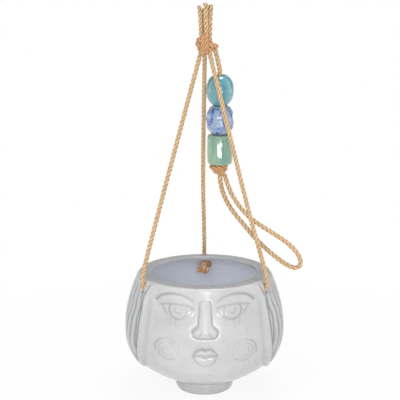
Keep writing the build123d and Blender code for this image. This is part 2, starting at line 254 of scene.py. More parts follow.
def jute(name, light, dark, patched, shade_between_plies):
    """Twisted jute: fibre streaks along each ply, browner patches, and painted shade in the grooves between
    the plies.
    """
    finish = Finish(name)
    lay = finish.node("ShaderNodeUVMap", {"uv_map": "lay"})
    streaks = finish.node("ShaderNodeMapping", {}, {"Vector": lay, "Scale": (7.0, 0.9, 1.0)})
    fibre = finish.noise(streaks, 1.6, 4.0, 0.65)
    patch = finish.noise(finish.place(), 70.0, 3.0, 0.6)
    colour = finish.mix(finish.ramp(fibre, [(0.34, 0.0), (0.66, 1.0)]), dark, light)
    colour = finish.mix(finish.ramp(patch, [(0.45, 0.0), (0.72, 0.55)]), colour, patched)
    # Painted shade: each ply darker on its inner side, in the groove where it meets the others.
    around = finish.node("ShaderNodeSeparateXYZ", {}, {"Vector": lay}, out=0)
    outward = finish.node("ShaderNodeMath", {"operation": "ABSOLUTE"}, {0: around - 0.5})
    colour = finish.mix(finish.ramp(outward, [(0.20, 0.55), (0.36, 0.0)]), colour, shade_between_plies)
    return finish.close({
        "Base Color": colour,
        "Roughness": 0.88,
        "Sheen Weight": 0.25,
        "Sheen Roughness": 0.5,
        "Normal": finish.bump(0.75, 0.0003, fibre),
    })


BOWL_GLAZE = bowl_glaze()
TURQUOISE = bead_glaze(
    "turquoise_glaze", base=shade(80, 138, 148), pale=shade(104, 160, 166), deep=shade(58, 122, 156),
    scale=70.0, blobs=0.5, streak=0.25,
)
BLUE = bead_glaze(
    "blue_glaze", base=shade(122, 148, 186), pale=shade(158, 174, 186), deep=shade(26, 80, 158),
    scale=66.0, blobs=0.95, streak=0.6,
)
GREEN = bead_glaze(
    "green_glaze", base=shade(110, 152, 132), pale=shade(160, 180, 148), deep=shade(92, 138, 122),
    scale=110.0, blobs=0.4, streak=0.12,
)
# Each jute's last colour is the painted shade between its plies.
JUTE = jute("jute", shade(236, 207, 164), shade(184, 146, 102), shade(200, 160, 112), shade(120, 84, 50))
KNOT_JUTE = jute(
    "knot_jute", shade(226, 178, 128), shade(178, 126, 82), shade(188, 132, 84), shade(112, 72, 42)
)
# Painted light: a lighter copy of the knot jute for the stopper knots, standing in for light they lack inside
# the bowl.
STOPPER_JUTE_PAINTED_LIGHT = jute(
    "stopper_jute", shade(252, 212, 168), shade(218, 166, 118), shade(226, 172, 122), shade(156, 106, 68)
)


def smooth_line(points, count):
    """A natural cubic through points, read at evenly spaced places."""
    points = np.array(points, float)
    knots = way_along(points)
    gaps = np.diff(knots)
    size = len(points)
    system = np.eye(size)
    right = np.zeros(points.shape)
    for i in range(1, size - 1):
        system[i, i - 1:i + 2] = gaps[i - 1], 2 * (gaps[i - 1] + gaps[i]), gaps[i]
        slopes = np.diff(points[i - 1:i + 2], axis=0) / gaps[i - 1:i + 1, None]
        right[i] = 6 * (slopes[1] - slopes[0])
    bends = np.linalg.solve(system, right)
    dense = np.linspace(0, knots[-1], count * 8)
    piece = np.clip(np.searchsorted(knots, dense) - 1, 0, size - 2)
    before = (dense - knots[piece])[:, None]
    after = (knots[piece + 1] - dense)[:, None]
    gap = gaps[piece][:, None]
    line = bends[piece] * after ** 3 / (6 * gap) + bends[piece + 1] * before ** 3 / (6 * gap)
    line += (points[piece] / gap - bends[piece] * gap / 6) * after
    line += (points[piece + 1] / gap - bends[piece + 1] * gap / 6) * before
    return even(line, count)


def way_along(line):
    """How far each point of a line is from its start, measured along it."""
    return np.concatenate([[0.0], np.cumsum(np.linalg.norm(np.diff(line, axis=0), axis=1))])


def even(line, count):
    """The same line with count points an equal way apart."""
    reach = way_along(line)
    wanted = np.linspace(0, reach[-1], count)
    return np.stack([np.interp(wanted, reach, line[:, k]) for k in range(line.shape[1])], axis=1)


def step(low, high, value):
    """0 below low, 1 above high, and a smooth rise between them."""
    share = np.clip((value - low) / (high - low), 0, 1)
    return share * share * (3 - 2 * share)


def read_at(table, place):
    """The value of a table of (place, value) pairs, read between them."""
    return np.interp(place, [pair[0] for pair in table], [pair[1] for pair in table])


def put_in_scene(name, data):
    thing = bpy.data.objects.new(name, data)
    bpy.context.scene.collection.objects.link(thing)
    return thing


def make_piece(name, points, faces, finish, lay=None, marks=None):
    """A mesh object from points in millimetres."""
    mesh = bpy.data.meshes.new(name)
    mesh.from_pydata((np.asarray(points) * MM).tolist(), [], faces)
    mesh.materials.append(finish)
    if lay is not None:
        uv = mesh.uv_layers.new(name="lay")
        uv.data.foreach_set("uv", np.asarray(lay, np.float32).ravel())
    for mark, values in (marks or {}).items():
        mesh.attributes.new(mark, "FLOAT", "POINT").data.foreach_set("value", np.asarray(values, np.float32))
    mesh.shade_smooth()
    mesh.update()
    return put_in_scene(name, mesh)


def plain_mesh(piece):
    """Make the piece's modifiers real and take them off."""
    seen = piece.evaluated_get(bpy.context.evaluated_depsgraph_get())
    mesh = bpy.data.meshes.new_from_object(seen)
    piece.modifiers.clear()
    old = piece.data
    piece.data = mesh
    bpy.data.meshes.remove(old)


def stand_for(piece, body, slot, *nodes):
    """The piece rides on the body and replaces the nodes."""
    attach(piece, body)
    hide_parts(*nodes)


def route_line(name, route):
    """The points of a cord's own spline, a ring's step apart, in millimetres."""
    curve = bpy.data.curves.new(name, "CURVE")
    curve.dimensions = "3D"
    spline = curve.splines.new("NURBS")
    spline.points.add(len(route) - 1)
    for point, place in zip(spline.points, route):
        point.co = (*(v * MM for v in place), 1.0)
    spline.order_u = 3
    spline.use_endpoint_u = True
    spline.resolution_u = 32
    holder = put_in_scene(name, curve)
    bpy.context.view_layer.update()
    mesh = bpy.data.meshes.new_from_object(holder.evaluated_get(bpy.context.evaluated_depsgraph_get()))
    line = np.array([vertex.co[:] for vertex in mesh.vertices]) / MM
    bpy.data.objects.remove(holder)
    bpy.data.curves.remove(curve)
    bpy.data.meshes.remove(mesh)
    return even(line, int(way_along(line)[-1] / RING_STEP) + 2)


def across_line(line):
    """Two directions across a line at each point, that don't spin round it."""
    along = np.gradient(line, axis=0)
    along /= np.linalg.norm(along, axis=1)[:, None]
    helper = (0.0, 0.0, 1.0) if abs(along[0][2]) < 0.8 else (1.0, 0.0, 0.0)
    first = np.cross(along[0], helper)
    sides = [first / np.linalg.norm(first)]
    for here in along[1:]:
        side = sides[-1] - here * sides[-1].dot(here)
        sides.append(side / np.linalg.norm(side))
    sides = np.array(sides)
    return sides, np.cross(along, sides)


def twisted(line, radius, lay=CORD_LAY, turn=0.0, frayed_end=0.0):
    """The plies of one cord, twisted round its line, as rings of points and the way along them."""
    side, over = across_line(line)
    reach = way_along(line)
    ply_radius = radius * 0.5
    loose = 1 - step(0, frayed_end, reach[-1] - reach) if frayed_end else 0 * reach
    around = np.arange(PLY_SIDES) * 2 * math.pi / PLY_SIDES
    tubes = []
    for ply in range(PLIES):
        angle = turn + 2 * math.pi * (reach / (lay * 2 * radius) + ply / PLIES)
        out = np.cos(angle)[:, None] * side + np.sin(angle)[:, None] * over
        beside = -np.sin(angle)[:, None] * side + np.cos(angle)[:, None] * over
        middle = line + out * ((radius - ply_radius) * (1 + FRAY_SPREAD * loose))[:, None]
        waver = 1 + PLY_WAVER * np.sin(reach * WAVER_PER_MM + ply * PLY_WAVER_SHIFT)
        size = (ply_radius * (PLY_FULLNESS - FRAY_THINNING * loose) * waver)[:, None, None]
        ring = np.cos(around)[None, :, None] * out[:, None, :]
        ring = ring + PLY_WIDTH * np.sin(around)[None, :, None] * beside[:, None, :]
        tubes.append((middle[:, None, :] + size * ring, reach))
    return tubes


def ring_quads(start, rows, sides, closed=False):
    """Faces between rows of points that go round; in a closed skin the last row joins the first."""
    for i in range(rows if closed else rows - 1):
        one, two = start + i * sides, start + (i + 1) % rows * sides
        for j in range(sides):
            k = (j + 1) % sides
            yield one + j, one + k, two + k, two + j


def cord_piece(name, tubes, finish, fuzz=0.11, hair=1.3):
    """One piece of cord from its plies; fuzz is its loose fibres to a square mm, and hair their length."""
    points, faces, lay = [], [], []
    start = 0
    for rings, reach in tubes:
        count, sides = rings.shape[:2]
        points.append(rings.reshape(-1, 3))
        along = reach / PATTERN_LENGTH
        faces += ring_quads(start, count, sides)
        for low, high in zip(along, along[1:]):
            for j in range(sides):
                left, right = j / sides, (j + 1) / sides
                lay += [(left, low), (right, low), (right, high), (left, high)]
        last = start + (count - 1) * sides
        faces.append(tuple(reversed(range(start, start + sides))))
        faces.append(tuple(range(last, last + sides)))
        lay += [(0.5, along[0])] * sides + [(0.5, along[-1])] * sides
        start += count * sides
    piece = make_piece(name, np.concatenate(points), faces, finish, lay)
    add_fibres(piece, finish, hair, fuzz)
    return piece


def fibre_tree():
    """Loose fibres that stand on a cord: thin bent hairs, spread at random and turned along the surface."""
    tree = bpy.data.node_groups.new("loose_fibres", "GeometryNodeTree")
    made = {}
    for name, kind in (
        ("Cord", "Geometry"),
        ("Fibre length", "Float"),
        ("Fibre thickness", "Float"),
        ("Fibres per square metre", "Float"),
        ("Finish", "Material"),
    ):
        socket = tree.interface.new_socket(name, in_out="INPUT", socket_type=f"NodeSocket{kind}")
        made[name] = socket.identifier
    tree.interface.new_socket("Cord", in_out="OUTPUT", socket_type="NodeSocketGeometry")
    given = tree.nodes.new("NodeGroupInput")

    def node(kind, **sockets):
        new = tree.nodes.new(kind)
        for key, value in sockets.items():
            socket = new.inputs[key.replace("_", " ")]
            if isinstance(value, bpy.types.NodeSocket):
                tree.links.new(value, socket)
            else:
                socket.default_value = value
        return new

    def part_of_length(share):
        times = tree.nodes.new("ShaderNodeMath")
        times.operation = "MULTIPLY"
        tree.links.new(given.outputs["Fibre length"], times.inputs[0])
        times.inputs[1].default_value = share
        return times.outputs[0]

    def place_on_fibre(shares):
        across, up = shares
        return node("ShaderNodeCombineXYZ", X=part_of_length(across), Z=part_of_length(up)).outputs[0]

    hair = node(
        "GeometryNodeCurveQuadraticBezier",
        Resolution=3,
        Start=(0.0, 0.0, 0.0),
        Middle=place_on_fibre(FIBRE_BEND),
        End=place_on_fibre(FIBRE_TIP),
    )
    ring = node("GeometryNodeCurvePrimitiveCircle", Resolution=3, Radius=given.outputs["Fibre thickness"])
    solid = node(
        "GeometryNodeCurveToMesh", Curve=hair.outputs[0], Profile_Curve=ring.outputs[0], Fill_Caps=True
    )
    spread = node(
        "GeometryNodeDistributePointsOnFaces",
        Mesh=given.outputs["Cord"],
        Density=given.outputs["Fibres per square metre"],
        Seed=FIBRE_SEED,
    )
    jitter = tree.nodes.new("FunctionNodeRandomValue")
    jitter.data_type = "FLOAT_VECTOR"
    jitter.inputs[0].default_value = (-FIBRE_TILT, -FIBRE_TILT, 0.0)
    jitter.inputs[1].default_value = (FIBRE_TILT, FIBRE_TILT, 6.28)
    size = tree.nodes.new("FunctionNodeRandomValue")
    size.data_type = "FLOAT"
    size.inputs[2].default_value = FIBRE_SHORTEST
    size.inputs[3].default_value = 1.0
    turned = tree.nodes.new("FunctionNodeRotateRotation")
    turned.rotation_space = "LOCAL"
    tree.links.new(spread.outputs["Rotation"], turned.inputs[0])
    tree.links.new(jitter.outputs[0], turned.inputs[1])
    stood = node(
        "GeometryNodeInstanceOnPoints",
        Points=spread.outputs["Points"],
        Instance=solid.outputs[0],
        Rotation=turned.outputs[0],
        Scale=size.outputs[1],
    )
    both = tree.nodes.new("GeometryNodeJoinGeometry")
    tree.links.new(stood.outputs[0], both.inputs[0])
    tree.links.new(given.outputs["Cord"], both.inputs[0])
    real = node("GeometryNodeRealizeInstances", Geometry=both.outputs[0])
    dyed = node("GeometryNodeSetMaterial", Geometry=real.outputs[0], Material=given.outputs["Finish"])
    result = tree.nodes.new("NodeGroupOutput")
    tree.links.new(dyed.outputs[0], result.inputs[0])
    return tree, made


FIBRES, FIBRE_INPUTS = fibre_tree()


def add_fibres(piece, finish, length, per_square_mm):
    growth = piece.modifiers.new("fibres", "NODES")
    growth.node_group = FIBRES
    growth[FIBRE_INPUTS["Fibre length"]] = length * MM
    growth[FIBRE_INPUTS["Fibre thickness"]] = FIBRE_THICKNESS * MM
    growth[FIBRE_INPUTS["Fibres per square metre"]] = per_square_mm * 1e6
    growth[FIBRE_INPUTS["Finish"]] = finish
    plain_mesh(piece)


# The three hanger cords: from the gathering knot down to the rim and in through the holes
HANGER_ROUTES = {
    "left": [
        (-2.6, -1.4, -13.0), (-51.79, -29.9, -194.4),
        (-59.43, -34.31, -229.63), (-50.96, -29.42, -233.19),
    ],
    "right": [
        (3.6, -1.6, -13.0), (37.4, -22.8, -150.0), (53.4, -31.3, -205.0),
        (59.43, -34.31, -229.63), (50.96, -29.42, -233.19),
    ],
    "back": [
        (0.2, 3.1, -13.0), (-1.9, 41.0, -137.0), (0.0, 60.6, -197.0),
        (0.0, 68.62, -229.63), (0.0, 58.85, -233.19),
    ],
}


def hanger_cords():
    for side, route in HANGER_ROUTES.items():
        line = route_line(f"hanger_{side}", route)
        piece = cord_piece(f"jute_hanger_{side}", twisted(line, HANGER_RADIUS + HANGER_FULLNESS), JUTE)
        stand_for(piece, "planter", "jute", f"hanger_cord_{side}")


# The cut ends above the gathering knot: half thickness and route
CUT_ENDS = {
    "front": (2.2, [(1.4, -3.7, -12.0), (1.2, -4.6, 10.0), (0.8, -4.4, 28.4)]),
    "right": (2.2, [(4.4, -0.3, -12.0), (4.6, -0.7, 12.0), (5.7, -0.9, 26.6)]),
    "right_rear": (1.9, [(2.2, 3.6, -12.0), (2.6, 3.9, 9.0), (3.9, 4.3, 24.0)]),
    "left_rear": (1.9, [(-2.2, 2.9, -12.0), (-1.9, 3.6, 10.0), (-2.3, 4.0, 23.0)]),
    "left": (1.9, [(-2.8, -1.6, -12.0), (-3.2, -1.9, 8.0), (-4.9, -1.6, 25.8)]),
}


def frayed_ends():
    for number, (side, (radius, route)) in enumerate(CUT_ENDS.items()):
        line = route_line(f"cut_{side}", route)
        tubes = twisted(line, radius, turn=number * 1.3, frayed_end=FRAY_LENGTH)
        piece = cord_piece(f"frayed_end_{side}", tubes, JUTE, fuzz=0.2, hair=1.7)
        stand_for(piece, "held_ends", "jute", f"cut_end_{side}")


def bead_cord_runs():
    """The bead cord from the gathering knot through the beads: two runs, one behind the other."""
    for name, shift in (("front", -STRAND_SHIFT), ("rear", STRAND_SHIFT)):
        route = [
            (8.8, 4.0 + shift, -11.5),
            (BEAD_X - 0.3, BEAD_Y + shift, -31.0),
            (BEAD_X, BEAD_Y + shift, -39.0),
            (BEAD_X, BEAD_Y + shift, -121.2),
        ]
        line = route_line(f"bead_run_{name}", route)
        piece = cord_piece(f"jute_bead_run_{name}", twisted(line, STRAND_RADIUS), JUTE, fuzz=0.05, hair=0.9)
        stand_for(piece, "strand", "jute", f"bead_cord_{name}")


# The hanging loop's route, across its upright plane and up from its top
LOOP_TOP = (16.0, 9.0, -131.8)
LOOP_TURN = math.radians(-25.0)
LOOP_ROUTE = [
    (-2.4, 1.5), (-1.2, -9.2), (3.2, -21.6), (11.2, -33.4), (22.2, -44.6), (31.8, -54.4), (41.2, -62.6),
    (50.4, -69.4), (60.0, -75.6), (69.4, -80.4), (77.0, -80.6), (80.4, -75.4), (77.8, -68.2), (71.8, -61.6),
    (63.2, -55.8), (52.8, -50.4), (42.0, -45.2), (31.4, -39.6), (21.8, -32.0), (13.8, -22.8), (7.4, -12.4),
    (2.4, 1.5),
]


def hanging_loop():
    x, y, z = LOOP_TOP
    route = [(x + a * math.cos(LOOP_TURN), y + a * math.sin(LOOP_TURN), z + up) for a, up in LOOP_ROUTE]
    line = route_line("loop", route)
    piece = cord_piece("jute_hanging_loop", twisted(line, STRAND_RADIUS), JUTE, fuzz=0.13, hair=1.4)
    stand_for(piece, "loop", "jute", "hanging_loop")


def turned_about_y(points, degrees):
    angle = math.radians(degrees)
    x, y, z = points.T
    return np.stack([
        x * math.cos(angle) + z * math.sin(angle),
        y,
        -x * math.sin(angle) + z * math.cos(angle),
    ], axis=1)


def gathering_knot():
    """All cords tied together: strands that bulge through the knot, and turns of cord drawn over them."""
    tubes = []
    share = np.linspace(0, 1, 40)
    for number in range(KNOT_STRANDS):
        angle = 2 * math.pi * (number + 0.35) / KNOT_STRANDS + KNOT_TWIST * (share - 0.5)
        out = KNOT_NECK + KNOT_BULGE * np.sin(math.pi * share) ** 0.8
        line = np.stack([out * np.cos(angle), out * np.sin(angle), (share - 0.5) * KNOT_HEIGHT], axis=1)
        tubes += twisted(line + KNOT_MIDDLE, KNOT_STRAND_CORD, turn=number * 1.1)
    around = np.linspace(0, 2 * math.pi, 90)
    for across, rise, wide, deep in KNOT_TURNS:
        ring = np.stack([across + wide * np.cos(around), deep * np.sin(around), rise + 0 * around], axis=1)
        tubes += twisted(turned_about_y(ring, KNOT_TURN_TILT) + KNOT_MIDDLE, KNOT_TURN_CORD, turn=rise)
    for low, top in DRAWN_STRANDS:
        forward = DRAWN_DEPTH + DRAWN_BULGE * np.sin(math.pi * share) ** 0.7
        drawn = np.stack([low + (top - low) * share, -forward, (share - 0.5) * DRAWN_HEIGHT], axis=1)
        tubes += twisted(drawn + KNOT_MIDDLE, DRAWN_CORD, turn=low)
    piece = cord_piece("jute_gathering_knot", tubes, KNOT_JUTE, fuzz=0.09, hair=1.2)
    stand_for(piece, "knot", "jute_knot", "gathering_knot")


def at_azimuth(azimuth, radius, height):
    angle = math.radians(azimuth)
    return np.array((math.cos(angle) * radius, math.sin(angle) * radius, height))


def hole_directions(azimuth):
    """Out of the bowl along a cord hole, and the level and the upward direction across it."""
    angle, tilt = math.radians(azimuth), math.radians(HOLE_TILT)
    outward = at_azimuth(azimuth, math.cos(tilt), math.sin(tilt))
    level = np.array((-math.sin(angle), math.cos(angle), 0.0))
    return outward, level, np.cross(outward, level)


def stopper_knots():
    """The knots inside the bowl that keep the hangers in their holes: a short coil round a core."""
    spin = math.radians(STOPPER_SPIN)
    share = np.linspace(0, 1, 110)
    round_it = 2 * math.pi * STOPPER_TURNS * share + STOPPER_START
    out = STOPPER_COIL * np.sin(math.pi * np.clip(share * 0.86 + 0.07, 0, 1)) ** 0.5
    for side, azimuth in HOLES.items():
        outward, level, above = hole_directions(azimuth)
        middle = at_azimuth(azimuth, *STOPPER_SEAT) - outward * STOPPER_DEPTH + above * STOPPER_LIFT
        along = level * math.cos(spin) - above * math.sin(spin)
        beside = level * math.sin(spin) + above * math.cos(spin)
        if side == "back":
            along = -along
        coil = middle + along * ((share - 0.5) * STOPPER_LENGTH)[:, None]
        coil = coil - outward * (out * np.cos(round_it))[:, None]
        coil = coil + beside * (1.05 * out * np.sin(round_it))[:, None]
        tubes = twisted(even(coil, 90), STOPPER_CORD, lay=STOPPER_LAY)
        core = middle + along * ((np.linspace(0, 1, 16) - 0.5) * CORE_LENGTH)[:, None]
        tubes += twisted(core, CORE_CORD)
        piece = cord_piece(f"jute_stopper_{side}", tubes, STOPPER_JUTE_PAINTED_LIGHT, fuzz=0.1, hair=1.1)
        stand_for(piece, "planter", "jute_knot", f"stopper_knot_{side}")


def overhand_line(ring, swell, width, height, depth, turn):
    """A trefoil that faces forwards: the run of a cord in an overhand knot that was drawn tight."""
    share = np.linspace(0, 4 * math.pi, 260)
    out = ring + swell * np.cos(1.5 * share)
    across = out * np.cos(share + turn)
    up = out * np.sin(share + turn)
    return np.stack([across * width, -swell * depth * np.sin(1.5 * share), up * height], axis=1)


def bead_knot():
    """The knot below the green bead: both runs tied round each other."""
    knot = overhand_line(ring=4.4, swell=2.2, width=0.92, height=0.52, depth=0.95, turn=0.35)
    tubes = twisted(even(knot + BEAD_KNOT_MIDDLE, 120), STRAND_RADIUS)
    around = np.linspace(0, 2 * math.pi, 70)
    wide, deep = BAND_HALF
    band = np.stack([wide * np.cos(around), deep * np.sin(around), 2.7 + 0.5 * np.cos(around)], axis=1)
    tubes += twisted(band + BAND_MIDDLE, BAND_CORD)
    wrap = np.stack([0.9 * np.sin(around), 4.0 * np.cos(around), 4.3 * np.sin(around)], axis=1)
    tubes += twisted(turned_about_y(wrap, WRAP_TILT) + WRAP_MIDDLE, STRAND_RADIUS)
    piece = cord_piece("jute_bead_knot", tubes, KNOT_JUTE, fuzz=0.09, hair=1.1)
    stand_for(piece, "strand", "jute_knot", "bead_knot")


def lumps(azimuth, height, size, pitch):
    """Uneven throwing and handling marks of a handmade bead."""
    wave = np.sin(3 * azimuth + height / pitch) + np.sin(5 * azimuth - 1.7 * height / pitch + 1.0)
    wave += 0.8 * np.sin(2 * azimuth + 2.9 * height / pitch + 2.2)
    wave += 0.7 * np.sin(9 * azimuth + 2.3 * height / pitch + 0.4)
    return size * wave / 3.5


def glazed_bead(colour, finish, low, height, belly, end, fullness, rim, lump, pitch):
    """A bead turned round its bore: outside profile, rounded ends, and the bore's wall."""
    share = np.linspace(0, 1, 21)
    curve = end + (belly - end) * (1 - np.abs(2 * share - 1) ** fullness) ** 0.6
    outside = [(r, low + rim * 0.7 + s * (height - 1.4 * rim)) for r, s in zip(curve, share)]
    bottom = [
        (BEAD_BORE, low + 1.4),
        (BEAD_BORE + 0.5, low + 0.3),
        (end - rim, low),
        (end - 0.25 * rim, low + 0.25 * rim),
    ]
    top = [(r, 2 * low + height - z) for r, z in reversed(bottom)]
    profile = smooth_line([*bottom, *outside[1:-1], *top], BEAD_ROWS)
    bore = smooth_line([top[-1], (BEAD_BORE, low + height / 2), bottom[0]], BORE_ROWS)[1:-1]
    profile = np.concatenate([profile, bore])
    azimuth = np.linspace(0, 2 * math.pi, BEAD_COLUMNS, endpoint=False)
    radius = np.repeat(profile[:, :1], BEAD_COLUMNS, axis=1)
    level = np.repeat(profile[:, 1:], BEAD_COLUMNS, axis=1)
    outer = step(BEAD_BORE + 0.5, end, radius)
    away = np.minimum(level - low, low + height - level)
    radius = radius + outer * step(0, 3.0, away) * lumps(azimuth[None, :], level - low, lump, pitch)
    points = np.stack([BEAD_X + radius * np.cos(azimuth), BEAD_Y + radius * np.sin(azimuth), level], axis=2)
    edge = np.clip(1 - away / 2.4, 0, 1) * (radius > BEAD_BORE + 0.3)
    faces = list(ring_quads(0, len(profile), BEAD_COLUMNS, closed=True))
    marks = {"edge": edge.ravel()}
    piece = make_piece(f"glazed_bead_{colour}", points.reshape(-1, 3), faces, finish, marks=marks)
    stand_for(piece, f"{colour}_bead", f"{colour}_glaze", f"bead_{colour}")


def beads():
    glazed_bead("turquoise", TURQUOISE, low=-66.1, height=27.8, belly=12.7, end=7.4,
                fullness=2.0, rim=2.0, lump=0.18, pitch=6.0)
    glazed_bead("blue", BLUE, low=-93.0, height=26.6, belly=12.6, end=8.6,
                fullness=2.3, rim=2.4, lump=0.75, pitch=3.2)
    glazed_bead("green", GREEN, low=-120.9, height=27.6, belly=12.0, end=11.2,
                fullness=4.0, rim=1.8, lump=0.16, pitch=7.0)


# The bowl's outside, foot and inside, as distances from its axis and drops below the rim
WALL = [
    (61.2, 0.15), (62.1, 1.2), (62.95, 4.0), (64.3, 8.0), (66.5, 14.0), (69.7, 25.0), (72.0, 38.0),
    (72.6, 52.0), (70.7, 67.0), (64.6, 80.0), (50.4, 92.0), (38.6, 98.5), (27.6, 103.2),
]
FOOT = [
    (27.6, 103.2), (28.0, 104.6), (27.6, 107.6), (26.7, 110.8), (25.2, 113.4), (23.2, 114.5), (20.6, 114.45),
    (19.2, 113.6), (18.7, 110.5), (18.2, 107.0), (16.6, 105.5), (9.0, 105.5), (1.5, 105.5),
]
INSIDE = [
    (61.2, 0.15), (60.2, 0.0), (56.0, -0.3), (51.6, -0.75), (49.8, -0.45), (48.95, 0.9), (49.5, 2.6),
    (51.4, 3.7), (55.0, 5.2), (59.0, 9.2), (61.6, 15.2), (64.4, 26.3), (66.5, 38.6), (67.1, 52.0),
    (65.3, 65.6), (60.2, 76.7), (47.5, 87.4), (36.3, 93.8), (24.0, 98.2), (14.0, 99.5), (1.5, 99.5),
]
WALL_ROWS, FOOT_ROWS, INSIDE_ROWS = 172, 40, 84
FACE_REACH = 50.0  # degrees to each side of the front that are meshed finely
FACE_COLUMNS, BACK_COLUMNS = 217, 264

# Hair: pairs of a drop below the rim and a half width, a thickness or a depth there
PARTING = [(2.0, 43.0), (3.5, 44.0), (13.5, 49.8), (40.0, 54.0), (64.0, 56.2), (92.0, 54.5)]
HAIR_THICK = [(1, 0.9), (14, 1.1), (34, 1.6), (60, 2.4), (90, 2.4)]
LOCK_DEPTH = [(2, 0.4), (12, 1.1), (26, 1.55), (90, 1.6)]
HAIR_WAVES = ((2.3, 7.6, 2.0), (1.1, 4.1, 5))  # size in degrees, pitch, and shift round the bowl
HAIR_END = 85.6
BAND_WIDTH = 9.0
LOCKS = 34

# The face: places across from its middle and below the rim
FACE_MIDDLE = 0.4
BROW = [(11.4, 11.0), (14.8, 8.4), (20.0, 6.3), (28.5, 5.4), (36.0, 6.7), (40.8, 9.0), (43.9, 12.2)]
UPPER_LID = [(11.0, 16.6), (14.5, 15.1), (18.4, 14.4), (24.0, 14.0), (30.1, 14.1), (35.5, 14.7), (40.4, 15.8)]
LID_FOLD = [(13.0, 13.2), (17.0, 11.9), (22.0, 11.4), (28.0, 11.6), (33.0, 12.4)]
LOWER_LID = [(11.0, 17.6), (13.0, 20.4), (15.6, 22.9), (18.6, 24.9), (22.0, 26.0)]
EYE = (24.6, 19.4, 15.0, 7.0)  # place, half width and half height
IRIS = (24.7, 18.9, 7.5)  # place and radius, as for the pupil
PUPIL = (24.4, 18.7, 2.5)
EYE_WING = [(38.6, 16.0), (36.6, 19.2), (34.2, 22.4)]
LASHES = ([(30.9, 26.2), (31.0, 31.4)], [(27.4, 27.6), (27.3, 32.2)])
NOSE_SIDE = [
    (0.0, 10.4), (3.6, 10.5), (5.0, 11.8), (5.5, 18.0), (6.1, 25.0), (6.8, 31.0), (8.4, 33.4),
    (10.9, 35.3), (11.9, 38.2), (10.9, 41.2), (8.2, 42.7), (4.0, 43.0), (0.0, 43.3),
]
NOSTRIL = [(3.6, 36.4), (4.4, 39.6), (6.6, 41.4)]
LIP_TOP = [(0.0, 53.6), (3.8, 52.2), (8.0, 54.6), (11.2, 59.0)]
LIP_LOW = [(0.0, 69.8), (4.5, 68.6), (8.4, 65.0), (11.2, 59.2)]
LIP_LINE = [(0.0, 60.0), (3.0, 59.0), (7.0, 58.9), (12.0, 59.6)]
LIP_END = 11.6

# The nose: drops below the rim, and its half width, its height and how round its ridge is there
NOSE_HALF = [
    (9, 4.6), (11, 4.9), (20, 5.2), (31, 6.2), (33.6, 7.6),
    (36, 10.2), (38.5, 11.2), (41.5, 9.6), (43.2, 6.0),
]
NOSE_HEIGHT = [(9.8, 0), (11.6, 1.6), (20, 2.5), (32, 4.0), (37, 5.1), (40.5, 4.6), (42.4, 3.0), (43.6, 0)]
NOSE_RIDGE = [(6, 0.5), (30, 0.5), (34, 0.42), (45, 0.42)]

# The drawn lines: width and what it gains to the line's end, and the same two for the depth
DRAWN_LINES = (
    (smooth_line(BROW, 28), 1.3, 1.2, 0.5, 0.4),
    (smooth_line(UPPER_LID, 24), 1.5, 0, 0.55, 0),
    (smooth_line(LOWER_LID, 16), 1.4, 0, 0.42, 0),
    (EYE_WING, 1.5, 0, 0.55, 0),
    *((lash, 1.2, 0, 0.3, 0) for lash in LASHES),
    (smooth_line(NOSE_SIDE, 44), 1.6, 0, 0.4, 0.35),
    (NOSTRIL, 1.4, 0, 0.45, 0),
    (smooth_line(LIP_TOP, 20), 1.5, 0, 0.55, 0),
    (smooth_line(LIP_LOW, 20), 1.5, 0, 0.5, 0),
    (smooth_line(LIP_LINE, 20), 1.4, 0, 0.6, 0),
)

# The cheeks: place of each, and which way its spiral turns
CHEEKS = ((-33.6, 55.8, -1.0), (35.4, 57.4, 1.0))
CHEEK_RADIUS, CHEEK_RISE = 12.5, 0.9
SPIRAL_TURNS, SPIRAL_INNER, SPIRAL_GAIN, SPIRAL_START = 2.35, 3.2, 8.8, 2.0
SPIRAL_REACH = 15


def gap_to(points, across, drop):
    """How far each spot is from a drawn line, and how far along that line it is."""
    best = np.full(across.shape, 1e6)
    share = np.zeros(across.shape)
    for i, (a, b) in enumerate(zip(points, points[1:])):
        run, fall = b[0] - a[0], b[1] - a[1]
        along = ((across - a[0]) * run + (drop - a[1]) * fall) / (run * run + fall * fall)
        along = np.clip(along, 0, 1)
        gap = np.hypot(across - a[0] - along * run, drop - a[1] - along * fall)
        closer = gap < best
        best = np.where(closer, gap, best)
        share = np.where(closer, (i + along) / (len(points) - 1), share)
    return best, share


def groove(gap, width):
    """How much of a soft groove's depth is left at that distance from its line."""
    return np.exp(-(gap / (0.55 * width)) ** 2)


def eye_height(side, drop):
    """The fold over the lid, the eyeball and the pupil; and the two rings drawn on the eyeball."""
    gap, _ = gap_to(smooth_line(LID_FOLD, 16), side, drop)
    rise = 0.35 * groove(gap, 2.2)
    x, d, half_width, half_height = EYE
    ball = np.clip(1 - ((side - x) / half_width) ** 2 - ((drop - d) / half_height) ** 2, 0, 1)
    rise += 1.1 * np.sqrt(ball) * step(0, 0.25, ball)
    x, d, size = IRIS
    reach = np.hypot(side - x, drop - d)
    outer_side = 0.35 + 0.4 * step(-4.0, 6.0, side - x)
    cut = groove(np.abs(reach - size), 1.5) * outer_side * step(13.2, 14.6, drop)
    x, d, size = PUPIL
    reach = np.hypot(side - x, drop - d)
    rise += 0.45 * (1 - step(0.4, size, reach))
    ring = groove(np.abs(reach - size), 1.2) * 0.4 * step(-1.0, 2.0, side - x + drop - d)
    return rise, np.maximum(cut, ring)


def nose_height(side, drop):
    """The nose's height, and how much of the rise under it stays."""
    inside = np.clip(1 - (side / read_at(NOSE_HALF, drop)) ** 2, 0, 1)
    below = 1 - step(0, 0.3, inside) * (drop < 45)
    return read_at(NOSE_HEIGHT, drop) * inside ** read_at(NOSE_RIDGE, drop), below


